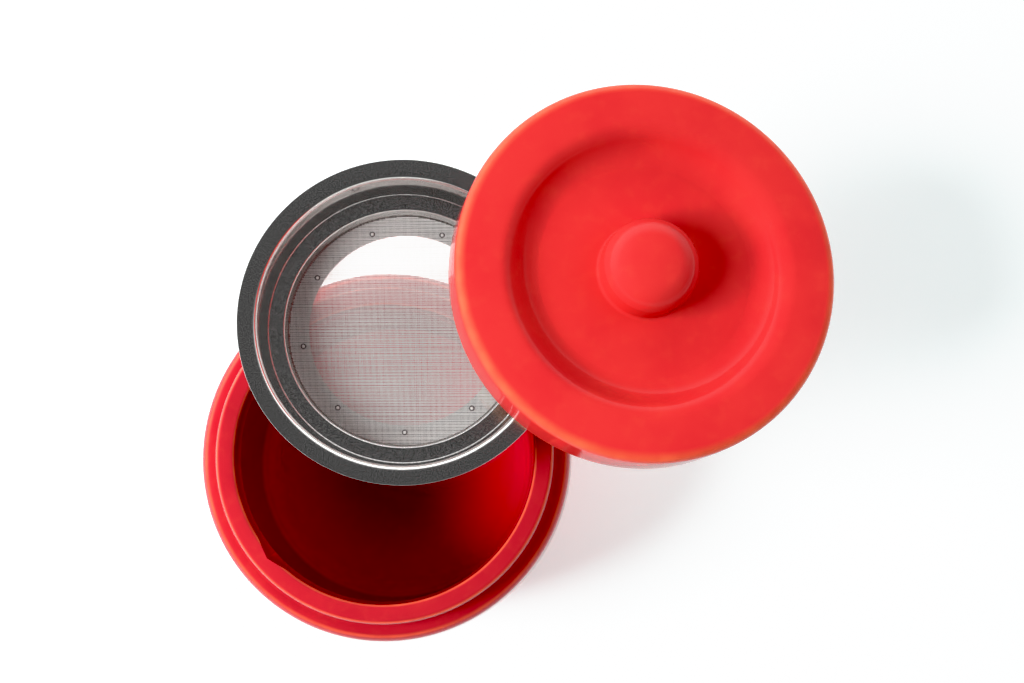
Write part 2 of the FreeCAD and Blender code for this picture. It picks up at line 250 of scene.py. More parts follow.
def make_room():
    room = Finish("room", bpy.data.worlds, "Background", "OutputWorld")
    bpy.context.scene.world = room.block
    way = room.node("ShaderNodeTexCoord", {}, out="Generated")
    x, y, z = room.split(way)
    side = x * math.cos(FAR_AZIMUTH) + y * math.sin(FAR_AZIMUTH)
    cloth = side.rise(*CLOTH_SIDE) * (CLOTH_FAR - CLOTH_NEAR) + CLOTH_NEAR
    high = climb(z, CLOTH_TOP)
    skirting = (1.0 - climb(z, SKIRTING_TOP)) * SKIRTING
    room.surface(Strength=(cloth * (1.0 - high) + high * CEILING).most(skirting))


# What the film makes of the light: black and white points, and the curve between them.
BLACK_POINT = 0.026
WHITE_POINT = 1.20
FILM = ((0.41, 0.50), (0.525, 0.62), (0.641, 0.84), (0.73, 0.94), (0.85, 0.985))
ALL_COLOURS = 3


def set_film():
    view = bpy.context.scene.view_settings
    view.view_transform = "Standard"
    view.use_curve_mapping = True
    film = view.curve_mapping
    film.black_level = (BLACK_POINT,) * 3
    film.white_level = (WHITE_POINT,) * 3
    for light, tone in FILM:
        film.curves[ALL_COLOURS].points.new(light, tone)
    film.update()


make_room()
set_film()

# %% Lamps: azimuth, elevation, distance, width and watts
KEY = (190.0, 49.0, 0.90, 0.40, 9.6)
FILL = (8.0, 40.0, 2.2, 1.8, 15.0)


def make_lamp(name, azimuth, elevation, distance, width, watts):
    lamp = bpy.data.lights.new(name, "AREA")
    lamp.shape = "DISK"
    lamp.size = width
    lamp.energy = watts
    azimuth, elevation = math.radians(azimuth), math.radians(elevation)
    way = Vector((math.cos(azimuth) * math.cos(elevation),
                  math.sin(azimuth) * math.cos(elevation), math.sin(elevation)))
    holder = bpy.data.objects.new(name, lamp)
    holder.location = way * distance
    holder.rotation_mode = "QUATERNION"
    holder.rotation_quaternion = way.to_track_quat("Z", "Y")
    holder.visible_glossy = False
    bpy.context.scene.collection.objects.link(holder)


make_lamp("key", *KEY)
make_lamp("fill", *FILL)

# %% [markdown]
# ## Turning a section
#
# Jar, lid and strainer frame are all round, so each is thrown the way a potter or a spinner
# would: a section is drawn once and spun about the axis. The section is a list of runs that meet
# at corners, straight or bowed, and each corner may be rounded. Rounding is worked out here on
# the drawing, before the spin, because a bevel on the finished mesh can't reach across the many
# small faces of a bowed wall.

# %% Section maths
ARC_STEP = math.radians(10.0)
BOW_STEPS = 20
LONGEST_TRIM = 0.98
CORNER_PASSES = 3


def bow(start, finish, level=None, across=None):
    """Points of an arc from start to finish whose centre lies at a known level or distance."""
    (r0, z0), (r1, z1) = start, finish
    if across is None:
        centre = ((r0 + r1) / 2 + ((z0 + z1) / 2 - level) * (z1 - z0) / (r1 - r0), level)
    else:
        centre = (across, (z0 + z1) / 2 + ((r0 + r1) / 2 - across) * (r1 - r0) / (z1 - z0))
    radius = math.dist(start, centre)
    first = math.atan2(z0 - centre[1], r0 - centre[0])
    turn = (math.atan2(z1 - centre[1], r1 - centre[0]) - first + math.pi) % (2 * math.pi) - math.pi
    angles = [first + turn * step / BOW_STEPS for step in range(BOW_STEPS + 1)]
    return [(centre[0] + radius * math.cos(a), centre[1] + radius * math.sin(a)) for a in angles]


def trim(run, length):
    """Cut a length off the start of a run of points."""
    points = list(run)
    while len(points) > 2 and math.dist(points[0], points[1]) <= length:
        length -= math.dist(points[0], points[1])
        points.pop(0)
    share = min(LONGEST_TRIM, length / math.dist(points[0], points[1]))
    points[0] = tuple(a + (b - a) * share for a, b in zip(points[0], points[1]))
    return points


def heading(run):
    return math.atan2(run[1][1] - run[0][1], run[1][0] - run[0][0])


def round_corner(before, after, radius):
    """Trim two runs that meet at a corner, and give them back with an arc's points between."""
    corner = after[0]
    back, ahead = before[::-1], after
    for _ in range(CORNER_PASSES):
        turn = abs((heading(ahead) - heading(back) + math.pi) % (2 * math.pi) - math.pi)
        reach = radius / math.tan(turn / 2)
        back, ahead = trim(before[::-1], reach), trim(after, reach)
    half = (math.pi - turn) / 2
    weight = math.cos(half)
    steps = max(2, round(2 * half / ARC_STEP))
    spots = (back[0], corner, ahead[0])
    arc = []
    for step in range(1, steps):
        t = step / steps
        shares = ((1 - t) ** 2, 2 * t * (1 - t) * weight, t ** 2)
        arc.append(tuple(sum(share * spot[axis] for share, spot in zip(shares, spots)) / sum(shares)
                         for axis in (0, 1)))
    return back[::-1], arc, ahead


def join(corners):
    """Points of an outline through (radius, height, rounding, run) corners.

    rounding is the corner's radius, and run, where there is one, gives the points of a bowed
    run to the next corner. The first and last corners lie on the axis or meet each other.
    """
    runs = []
    for this, following in zip(corners, corners[1:]):
        runs.append(this[3] if len(this) > 3 else [this[:2], following[:2]])
    line = list(runs[0])
    for corner, run in zip(corners[1:], runs[1:]):
        if corner[2]:
            before, arc, run = round_corner(line[-2:] if len(line) == 2 else line, run, corner[2])
            line = before + arc + run
        else:
            line = line + run[1:]
    return line


# %% [markdown]
# ## From a drawn line to a turned piece
#
# In edit mode one point is pulled along the section, an extrude for each step, and the whole
# line is then spun a full turn. The spin leaves its last copy on its first, and a point on the
# axis as many points in one place, so doubles are merged, and the normals are made to face
# outwards. A turn of 240 steps keeps even the belly's outline smooth.

# %% Draw and spin
SPIN_STEPS = 240
MERGE_DISTANCE = 0.001 * MM
SMOOTH_ANGLE = math.radians(25.0)


def pick_only(piece):
    bpy.ops.object.select_all(action="DESELECT")
    piece.select_set(True)
    bpy.context.view_layer.objects.active = piece


def edit(piece):
    pick_only(piece)
    bpy.ops.object.mode_set(mode="EDIT")
    bpy.ops.mesh.select_all(action="SELECT")


def leave_edit():
    bpy.ops.object.mode_set(mode="OBJECT")


def lay_at(piece, matrix):
    """Put a piece's mesh where the matrix says, and leave its object at the origin."""
    pick_only(piece)
    piece.matrix_world = matrix
    bpy.ops.object.transform_apply(location=True, rotation=True, scale=True)


def start_point(name):
    """An object with a single point at the origin."""
    bpy.ops.object.select_all(action="DESELECT")
    bpy.ops.mesh.primitive_plane_add(size=MM)
    piece = bpy.context.object
    piece.name = piece.data.name = name
    edit(piece)
    bpy.ops.mesh.merge(type="CENTER")
    return piece


def turned(name, corners, matrix):
    """Draw a section given in millimetres, spin it about +Z, and lay the piece in its place."""
    line = join(corners)
    piece = start_point(name)
    last = (0.0, 0.0)
    for number, point in enumerate(line):
        step = ((point[0] - last[0]) * MM, 0.0, (point[1] - last[1]) * MM)
        if number == 0:
            bpy.ops.transform.translate(value=step)
        else:
            bpy.ops.mesh.extrude_region_move(TRANSFORM_OT_translate={"value": step})
        last = point
    bpy.ops.mesh.select_all(action="SELECT")
    bpy.ops.mesh.spin(steps=SPIN_STEPS, angle=2 * math.pi, center=(0, 0, 0), axis=(0, 0, 1))
    bpy.ops.mesh.select_all(action="SELECT")
    bpy.ops.mesh.remove_doubles(threshold=MERGE_DISTANCE)
    bpy.ops.mesh.normals_make_consistent(inside=False)
    leave_edit()
    bpy.ops.object.shade_smooth_by_angle(angle=SMOOTH_ANGLE)
    lay_at(piece, matrix)
    print(name, "section points:", len(line), "faces:", len(piece.data.polygons))
    return piece


def report(piece):
    """Print a piece's size, and how many of its edges don't join two faces."""
    counts = [0] * len(piece.data.edges)
    keys = {key: number for number, key in enumerate(piece.data.edge_keys)}
    for face in piece.data.polygons:
        for key in face.edge_keys:
            counts[keys[key]] += 1
    odd = sum(count != 2 for count in counts)
    size = [round(value / MM, 2) for value in piece.dimensions]
    print(piece.name, "size in mm:", size, "edges that are open:", odd)


# %% [markdown]
# ## The jar
#
# The jar is cast stoneware. Its wall runs from a bare foot ring out to a gentle belly, in over a
# rounded shoulder to the ledge that the lid sits on, and up a straight neck. Inside, the mouth
# is a straight bore that opens into the cavity below it. The bows of the belly have their
# centres level with its widest circle, so they meet there without a kink.

# %% Jar sizes, in millimetres
JAR_HEIGHT = 104.0
MOUTH = 50.2
NECK_WALL = 6.5
NECK_HEIGHT = 11.0
SKIRT_CLEARANCE = 0.7
SKIRT_WALL = 4.8
SHOULDER_STEP = 0.7
BELLY_SWELL = 3.4
BELLY_HEIGHT = 64.0
FOOT_DRAW = 7.3
FOOT_RING_WIDTH = 8.0
FOOT_RECESS = 1.5
BODY_WALL = 6.8
FLOOR = 7.0
BORE_DEPTH = 14.0
UNDERCUT_DROP = 12.0

NECK = MOUTH + NECK_WALL
SKIRT_INNER = NECK + SKIRT_CLEARANCE
SKIRT_OUTER = SKIRT_INNER + SKIRT_WALL
SHOULDER = SKIRT_OUTER + SHOULDER_STEP
LEDGE = JAR_HEIGHT - NECK_HEIGHT
BELLY = SHOULDER + BELLY_SWELL
FOOT = BELLY - FOOT_DRAW
FOOT_RING = FOOT - FOOT_RING_WIDTH
CAVITY = BELLY - BODY_WALL
BORE_FOOT = JAR_HEIGHT - BORE_DEPTH
CAVITY_TOP = BORE_FOOT - UNDERCUT_DROP

# Roundings of its corners.
FOOT_RECESS_EDGE, RING_INNER_EDGE, FOOT_EDGE = 0.8, 0.6, 3.0
SHOULDER_EDGE, SHOULDER_COVE = 4.5, 2.8
RIM_OUTER_EDGE, RIM_INNER_EDGE = 1.8, 1.2
UNDERCUT_EDGE, FLOOR_COVE = 8.0, 6.0

# %% Turn the jar


def jar_section():
    foot, belly, shoulder = (FOOT, 0.0), (BELLY, BELLY_HEIGHT), (SHOULDER, LEDGE)
    wall, wall_foot = (CAVITY, BELLY_HEIGHT), (FOOT - BODY_WALL, FLOOR)
    return [
        (0.0, FOOT_RECESS, 0),
        (FOOT_RING, FOOT_RECESS, FOOT_RECESS_EDGE),
        (FOOT_RING, 0.0, RING_INNER_EDGE),
        (*foot, FOOT_EDGE, bow(foot, belly, level=BELLY_HEIGHT)),
        (*belly, 0, bow(belly, shoulder, level=BELLY_HEIGHT)),
        (*shoulder, SHOULDER_EDGE),
        (NECK, LEDGE, SHOULDER_COVE),
        (NECK, JAR_HEIGHT, RIM_OUTER_EDGE),
        (MOUTH, JAR_HEIGHT, RIM_INNER_EDGE),
        (MOUTH, BORE_FOOT, UNDERCUT_EDGE),
        (CAVITY, CAVITY_TOP, UNDERCUT_EDGE),
        (*wall, 0, bow(wall, wall_foot, level=BELLY_HEIGHT)),
        (*wall_foot, FLOOR_COVE),
        (0.0, FLOOR, 0),
    ]


NOTCH_AZIMUTH = math.radians(222.4)
NOTCH_WIDTH = 18.2
NOTCH_DEPTH = 1.8
NOTCH_DROP = 16.0

jar = turned("stoneware_jar", jar_section(), Matrix.Rotation(NOTCH_AZIMUTH, 4, "Z"))
report(jar)

# %% [markdown]
# The pouring notch is a shallow V filed out of the rim's inner edge while the clay was leather
# hard. It is cut here the same way, with a three-sided wedge that leans out towards the top, and
# a Boolean modifier takes the wedge away from the jar.

# %% Cut the pouring notch
CUTTER_RISE = 2.0
TIP_NEAR = 0.01


def notch_cutter():
    """A three-sided prism whose outward edge is the valley of the notch."""
    reach = MOUTH + NOTCH_DEPTH
    chord = math.sqrt(MOUTH ** 2 - (NOTCH_WIDTH / 2) ** 2)
    length = 2 * (reach - chord)
    bpy.ops.object.select_all(action="DESELECT")
    bpy.ops.mesh.primitive_cylinder_add(vertices=3, radius=MM, depth=MM)
    cutter = bpy.context.object
    slope = NOTCH_DEPTH / NOTCH_DROP
    low, high = JAR_HEIGHT - NOTCH_DROP - CUTTER_RISE, JAR_HEIGHT + CUTTER_RISE
    tip = max(cutter.data.vertices, key=lambda vertex: vertex.co.y).co.y
    for vertex in cutter.data.vertices:
        height = high if vertex.co.z > 0 else low
        out = reach + (height - JAR_HEIGHT) * slope
        if vertex.co.y > tip - TIP_NEAR * MM:
            vertex.co = Vector((out, 0, height)) * MM
        else:
            side = NOTCH_WIDTH if vertex.co.x > 0 else -NOTCH_WIDTH
            vertex.co = Vector((out - length, side, height)) * MM
    edit(cutter)
    bpy.ops.mesh.normals_make_consistent(inside=False)
    leave_edit()
    lay_at(cutter, Matrix.Rotation(NOTCH_AZIMUTH, 4, "Z"))
    return cutter


def cut_away(piece, cutter):
    """Take the cutter's shape out of a piece, and throw the cutter away."""
    pick_only(piece)
    cut = piece.modifiers.new("cut", "BOOLEAN")
    cut.operation = "DIFFERENCE"
    cut.solver = "EXACT"
    cut.object = cutter
    bpy.ops.object.modifier_apply(modifier=cut.name)
    bpy.data.objects.remove(cutter)
    bpy.ops.object.shade_smooth_by_angle(angle=SMOOTH_ANGLE)


cut_away(jar, notch_cutter())
report(jar)

# %% [markdown]
# ## The lid
#
# One casting again: a skirt that drops over the jar's neck, a flat rim, a dished recess for the
# fingers, and a knob in the middle with a slightly domed head. Its underside dips, so that it
# keeps the strainer in place when the container is closed. The section is drawn with the lid
# level, and the turned piece is then laid where the frame has it, leaning a little.

# %% Lid sizes, in millimetres
LID_HEIGHT = 17.3
PLATE_THICK = 5.0
RIM_WIDTH = 17.3
RECESS_SLOPE = 5.6
RECESS_FLOOR = 10.5
DISH_SLOPE = 9.3
STRAINER_CLEARANCE = 2.8
SHEET = 0.5
PLUG_CLEARANCE = 1.9
PLUG_DRAFT = 1.5
PLUG_FOOT = 5.5
SKIRT_DRAFT = 0.9
KNOB = 15.2
KNOB_FOOT = 11.0
KNOB_SIDE_HEIGHT = 8.5
KNOB_TOP = 26.85
KNOB_FLAT = 7.9
KNOB_SAG = 0.62
KNOB_TURN = 6.2

LID_PLATE = LID_HEIGHT - PLATE_THICK
RECESS = SKIRT_OUTER - RIM_WIDTH
RECESS_FOOT = RECESS - RECESS_SLOPE
DISH_LOW = RECESS_FOOT - DISH_SLOPE
STRAINER_WALL = MOUTH - STRAINER_CLEARANCE
PLUG = STRAINER_WALL - SHEET - PLUG_CLEARANCE
KNOB_SIDE = KNOB_FOOT + KNOB_SIDE_HEIGHT

# Roundings of its corners.
PLUG_EDGE, LID_EDGE = 1.5, 3.5
SKIRT_INNER_EDGE, SKIRT_OUTER_EDGE = 2.5, 1.0
RECESS_EDGE, RECESS_COVE, KNOB_ROOT, KNOB_EDGE = 7.0, 10.0, 1.2, 1.5

LID_TILT = math.radians(4.8)
LID_TILT_AZIMUTH = math.radians(24.0)
LID_X, LID_Y = 82.5, 55.9

# %% Turn the lid


def lid_section():
    recess_foot, knob_foot = (RECESS_FOOT, RECESS_FLOOR), (KNOB, KNOB_FOOT)
    side, top = (KNOB, KNOB_SIDE), (0.0, KNOB_TOP)
    crown = (KNOB_FLAT, KNOB_TOP - KNOB_SAG)
    return [
        (0.0, PLUG_FOOT, 0),
        (PLUG - PLUG_DRAFT, PLUG_FOOT, PLUG_EDGE),
        (PLUG, LID_PLATE, PLUG_EDGE),
        (SKIRT_INNER, LID_PLATE, PLUG_EDGE),
        (SKIRT_INNER, 0.0, SKIRT_INNER_EDGE),
        (SKIRT_OUTER, 0.0, SKIRT_OUTER_EDGE),
        (SKIRT_OUTER - SKIRT_DRAFT, LID_HEIGHT, LID_EDGE),
        (RECESS, LID_HEIGHT, RECESS_EDGE),
        (*recess_foot, RECESS_COVE, bow(recess_foot, knob_foot, across=DISH_LOW)),
        (*knob_foot, KNOB_ROOT),
        (*side, KNOB_EDGE, bow(side, crown, across=KNOB_TURN)),
        (*crown, 0, bow(crown, top, across=0.0)),
        (*top, 0),
    ]


def lid_matrix():
    """The lid's place: its foot circle's height is read from the CAD lid's lowest point."""
    axis = Vector((-math.sin(LID_TILT_AZIMUTH), math.cos(LID_TILT_AZIMUTH), 0))
    low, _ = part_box("lid")
    edge = SKIRT_OUTER_EDGE
    drop = (SKIRT_OUTER - edge) * math.sin(LID_TILT) + edge * (1 - math.cos(LID_TILT))
    foot = low.z + drop * MM
    return Matrix.Translation((LID_X * MM, LID_Y * MM, foot)) @ Matrix.Rotation(LID_TILT, 4, axis)


LID_PLACE = lid_matrix()
lid = turned("stoneware_lid", lid_section(), LID_PLACE)
report(lid)

# %% [markdown]
# ## The strainer frame
#
# A single steel sheet, half a millimetre thick, pressed into a flange, a tapered wall, a step
# and a shallow cup with a ledge at its foot. Both faces of the sheet are drawn, so the piece has
# its true thickness and closes on itself like a bent tube.

# %% Strainer sizes, in millimetres
STRAINER_LIFT = 0.3
STRAINER_X, STRAINER_Y = 6.3, 41.5
STRAINER_HEIGHT = 22.7
FLANGE_BEARING = 2.8
WALL_TAPER = 1.45
STEP_WIDTH = 5.4
STEP_HEIGHT = 6.7
CUP_TAPER = 0.5
LEDGE_WIDTH = 7.35

STRAINER_BASE = JAR_HEIGHT + STRAINER_LIFT
FLANGE = MOUTH + FLANGE_BEARING
STEP = STRAINER_WALL - WALL_TAPER
CUP = STEP - STEP_WIDTH
CUP_FOOT = CUP - CUP_TAPER
DRAIN = CUP_FOOT - LEDGE_WIDTH

# Bends of the sheet, outside and inside, and the flange's edge, its lower side and its upper.
STEP_BEND_OUTER, STEP_BEND_INNER = 0.9, 0.4
FLANGE_BEND_OUTER, FLANGE_BEND_INNER = 2.4, 1.9
FLANGE_LOWER_EDGE, FLANGE_UPPER_EDGE = 0.12, 0.2

# %% Turn the strainer frame


def strainer_section():
    return [
        (DRAIN, 0.0, 0),
        (CUP_FOOT, 0.0, STEP_BEND_OUTER),
        (CUP, STEP_HEIGHT - SHEET, STEP_BEND_INNER),
        (STEP, STEP_HEIGHT - SHEET, STEP_BEND_OUTER),
        (STRAINER_WALL, STRAINER_HEIGHT - SHEET, FLANGE_BEND_INNER),
        (FLANGE, STRAINER_HEIGHT - SHEET, FLANGE_LOWER_EDGE),
        (FLANGE, STRAINER_HEIGHT, FLANGE_UPPER_EDGE),
        (STRAINER_WALL - SHEET, STRAINER_HEIGHT, FLANGE_BEND_OUTER),
        (STEP - SHEET, STEP_HEIGHT, STEP_BEND_INNER),
        (CUP - SHEET, STEP_HEIGHT, STEP_BEND_OUTER),
        (CUP_FOOT - SHEET, SHEET, STEP_BEND_INNER),
        (DRAIN, SHEET, 0),
        (DRAIN, 0.0, 0),
    ]


STRAINER_PLACE = Matrix.Translation(Vector((STRAINER_X, STRAINER_Y, STRAINER_BASE)) * MM)
strainer = turned("steel_strainer", strainer_section(), STRAINER_PLACE)
report(strainer)

# %% [markdown]
# ## The woven wire
#
# The mesh is a plain weave: each wire goes over one and under the next. A picture of a weave
# would do from afar, but light really passes through this one, so every wire is there. A wire is
# a curve with a point at each crossing, raised or lowered by half its thickness, and a round
# bevel gives it a body. Cheap wire cloth is never quite even, so the rows are spaced with a
# little seeded disorder and their wires vary in thickness, the weft more than the warp, and
# that is what makes the streaks along it. The warp lies a little closer than the weft.

# %% Weave the mesh, sizes in millimetres
MESH_EDGE_GAP = 0.3
MESH_RADIUS = CUP_FOOT - SHEET - MESH_EDGE_GAP
WIRE = 0.16
WEFT_PITCH = 0.5
WARP_PITCH = 0.4
WEFT_DISORDER = 0.20
WARP_DISORDER = 0.06
WEFT_UNEVEN = 0.28
WARP_UNEVEN = 0.05
WEAVE_CLEARANCE = 1.04       # its middle above the ledge, in wires
WEFT_SEED, WARP_SEED = 3, 8
MESH_MIDDLE = STRAINER_BASE + SHEET + WEAVE_CLEARANCE * WIRE


def rows(seed, pitch, disorder):
    """Places of the parallel wires across the disc, spaced a little unevenly."""
    chance = random.Random(seed)
    count = int(MESH_RADIUS / pitch)
    return [(number + chance.uniform(-disorder, disorder)) * pitch
            for number in range(-count, count + 1)]


def weave(name, own, crossed, phase, along_x, uneven):
    """One set of wires as a mesh: own are their places, and crossed those of the other set."""
    curve = bpy.data.curves.new(name, "CURVE")
    curve.dimensions = "3D"
    curve.bevel_depth = WIRE / 2 * MM
    curve.bevel_resolution = 0
    curve.use_fill_caps = True
    chance = random.Random(name)
    for number, place in enumerate(own):
        thick = 1.0 + chance.uniform(-uneven, uneven)
        half = math.sqrt(MESH_RADIUS ** 2 - place ** 2)
        spots = [(step, across) for step, across in enumerate(crossed) if abs(across) < half]
        if len(spots) < 2:
            continue
        spline = curve.splines.new("POLY")
        path = [(None, -half), *spots, (None, half)]
        spline.points.add(len(path) - 1)
        for point, (step, across) in zip(spline.points, path):
            lift = 0.0
            if step is not None:
                lift = WIRE / 2 * (1 if (step + number + phase) % 2 else -1)
            x, y = (across, place) if along_x else (place, across)
            point.co = ((STRAINER_X + x) * MM, (STRAINER_Y + y) * MM, (MESH_MIDDLE + lift) * MM, 1)
            point.radius = thick
    piece = bpy.data.objects.new(name, curve)
    bpy.context.scene.collection.objects.link(piece)
    pick_only(piece)
    bpy.ops.object.convert(target="MESH")
    piece = bpy.context.object
    bpy.ops.object.shade_smooth()
    print(name, "faces:", len(piece.data.polygons))
    return piece


weft_rows = rows(WEFT_SEED, WEFT_PITCH, WEFT_DISORDER)
warp_rows = rows(WARP_SEED, WARP_PITCH, WARP_DISORDER)
weft = weave("mesh_weft", weft_rows, warp_rows, 0, True, WEFT_UNEVEN)
warp = weave("mesh_warp", warp_rows, weft_rows, 1, False, WARP_UNEVEN)

# %% [markdown]
# ## The spot welds
#
# Nine spot welds hold the mesh down on the ledge. An electrode leaves a small bright nugget in a
# dented, heat-darkened ring. One is shaped from a short cylinder, by insets on its top face, and
# copied round the circle.

# %% Spot welds, sizes in millimetres
WELD_INSET = 4.55
WELD_CIRCLE = CUP_FOOT - SHEET - WELD_INSET
WELD_COUNT = 9
WELD_FIRST = 30.0
WELD_RING = 0.95
WELD_SIDES = 24
WELD_BLANK = 0.3
WELD_RISE = 2.2              # the blank's top above the ledge, in wires
WELD_TOP = STRAINER_BASE + SHEET + WELD_RISE * WIRE
WELD_BRIGHT = 0.45
WELD_STEPS = ((0.28, -0.10), (0.16, 0.0), (0.12, 0.14), (0.14, 0.08), (0.12, 0.03))
WELD_SMOOTH = math.radians(50.0)
FACES_UP = 0.9
WELD_METALS = (("weld_metal", (0.95, 0.94, 0.92), 0.35), ("weld_scale", (0.12, 0.11, 0.11), 0.45))
WELD_SPECKLE, WELD_METALLIC = 1500.0, 0.3
SPECK_SHADE, SPECK_ROUGH, SPECK_DETAIL = 0.85, 0.1, 2.0


def plain_metal(name, colour, roughness, speckle, metallic):
    """Metal with fine specks, a little darker and smoother between them."""
    metal = Finish(name)
    speck = metal.noise(metal.place(), speckle, SPECK_DETAIL)
    shade = metal.mix(speck, tuple(SPECK_SHADE * part for part in colour), colour)
    metal.surface(Base_Color=shade, Metallic=metallic, Roughness=speck * SPECK_ROUGH + roughness)
    return metal.block


def weld_nugget():
    """One weld at the origin: a ring, a dent inside it, and a domed nugget."""
    bpy.ops.object.select_all(action="DESELECT")
    bpy.ops.mesh.primitive_cylinder_add(vertices=WELD_SIDES, radius=WELD_RING * MM,
                                        depth=WELD_BLANK * MM)
    nugget = bpy.context.object
    edit(nugget)
    bpy.ops.mesh.select_all(action="DESELECT")
    leave_edit()
    for face in nugget.data.polygons:
        face.select = face.normal.z > FACES_UP
    bpy.ops.object.mode_set(mode="EDIT")
    bpy.ops.mesh.select_mode(type="FACE")
    for inset, rise in WELD_STEPS:
        bpy.ops.mesh.inset(thickness=inset * MM, depth=0)
        bpy.ops.transform.translate(value=(0, 0, rise * MM))
    leave_edit()
    for name, colour, roughness in WELD_METALS:
        nugget.data.materials.append(
            plain_metal(name, colour, roughness, WELD_SPECKLE, WELD_METALLIC))
    for face in nugget.data.polygons:
        face.material_index = int(face.center.xy.length > WELD_BRIGHT * MM)
    bpy.ops.object.shade_smooth_by_angle(angle=WELD_SMOOTH)
    return nugget


def weld_circle():
    """Copies of one nugget round the circle, joined into a single piece."""
    first = weld_nugget()
    copies = []
    for number in range(WELD_COUNT):
        azimuth = math.radians(WELD_FIRST + 360.0 / WELD_COUNT * number)
        copy = first.copy()
        copy.data = first.data.copy()
        bpy.context.scene.collection.objects.link(copy)
        place = Vector((STRAINER_X + WELD_CIRCLE * math.cos(azimuth),
                        STRAINER_Y + WELD_CIRCLE * math.sin(azimuth),
                        WELD_TOP - WELD_BLANK / 2)) * MM
        lay_at(copy, Matrix.Translation(place))
        copies.append(copy)
    bpy.data.objects.remove(first)
    bpy.ops.object.select_all(action="DESELECT")
    for copy in copies:
        copy.select_set(True)
    bpy.context.view_layer.objects.active = copies[0]
    bpy.ops.object.join()
    welds = bpy.context.object
    welds.name = welds.data.name = "spot_welds"
    return welds


welds = weld_circle()
report(welds)
print("dark faces on the welds:", sum(face.material_index for face in welds.data.polygons))

# %% [markdown]
# ## Red glaze
#
# Opaque red glaze is a glossy coat over pale clay. A slow cloud moves its red between two tones,
# and a faint mottle lies over that. The jar's two tones are darker than the lid's, though it is the
# same glaze, and that is painted shade. It breaks to orange where it runs thin over an edge, so a
# mask is drawn near each edge of the section. These edges are the roundings that catch the light,
# so the orange is partly a painted highlight. Nearer the axis than the middle of its rim, which is
# its bore and its floor, the jar has a brighter red, which is painted light, and a darker red
# towards the middle of the floor, which is painted shade. The lowest half millimetre of jar and
# lid, which stood on the kiln shelf, is bare clay. A glazed face is never dead flat, so two faint
# bumps make the reflections wander.

# %% Glaze
LID_REDS = ((0.69, 0.050, 0.050), (0.65, 0.042, 0.046))
# The jar's reds are darker than the lid's, though it is the same glaze: painted shade.
JAR_REDS_WITH_PAINTED_SHADE = ((0.52, 0.031, 0.042), (0.48, 0.025, 0.038))
# Inside the jar: a brighter red as painted light on the bore, and a darker red as painted shade
# towards the middle of the floor.
JAR_INSIDE_PAINTED_LIGHT = (0.84, 0.026, 0.060)
JAR_FLOOR_PAINTED_SHADE = (0.42, 0.010, 0.022)
# Orange of thin glaze, also used as a painted highlight along the rounded edges.
THIN_GLAZE_AND_HIGHLIGHT = (0.92, 0.17, 0.08)
CLAY = (0.70, 0.62, 0.50)
# Radii between which the painted shade on the jar's floor fades out.
FLOOR_SHADE_SPAN = (15.0, 48.0)

# Edges where the glaze runs thin and the rounding catches the light, as radius, height and reach;
# their orange is partly a painted highlight.
JAR_THIN_AND_HIGHLIGHT_EDGES = ((NECK - 0.6, JAR_HEIGHT - 0.5, 0.8), (MOUTH + 0.4, JAR_HEIGHT - 0.4, 0.7),
             (SHOULDER - 1.2, LEDGE - 1.2, 1.2))
LID_THIN_AND_HIGHLIGHT_EDGES = ((SKIRT_OUTER - 1.8, LID_HEIGHT - 1.0, 3.0), (SKIRT_OUTER, 0.6, 1.6))
JAR_GLOSS, LID_GLOSS = 0.32, 0.14
GLAZE_IOR = 1.5

# Noises, as scale and detail, then the stretch that counts, or for a bump its depth and strength.
CLOUD, CLOUD_SPAN = (45.0, 3.0), (0.35, 0.75)
PATCHES, PATCHES_SPAN = (160.0, 2.0), (0.25, 0.8)
MOTTLE, MOTTLE_SPAN, MOTTLE_SHARE = (210.0, 3.0), (0.48, 0.8), 0.05
WAVE, WAVE_DEPTH, WAVE_STRENGTH = (60.0, 1.0), 0.25, 0.35
GRAIN, GRAIN_DEPTH, GRAIN_STRENGTH = (700.0, 2.0), 0.02, 0.25
THIN_AND_HIGHLIGHT_PATCHY, THIN_AND_HIGHLIGHT_LEAST = 0.3, 0.45

# Where the painted light inside the jar fades out, across the rim and up towards the mouth, and the
# bare foot's height.
INSIDE_LIGHT_EDGE = (MOUTH + 4.0, MOUTH + 5.0)
INSIDE_LIGHT_TOP = (LEDGE, LEDGE + 8.0)
BARE_FOOT = (0.2, 0.5)
GLAZE_ROUGH, CLOUD_ROUGH, CLAY_ROUGH = 0.025, 0.03, 0.7


def span(ends):
    """A stretch given in millimetres, in metres."""
    return [end * MM for end in ends]


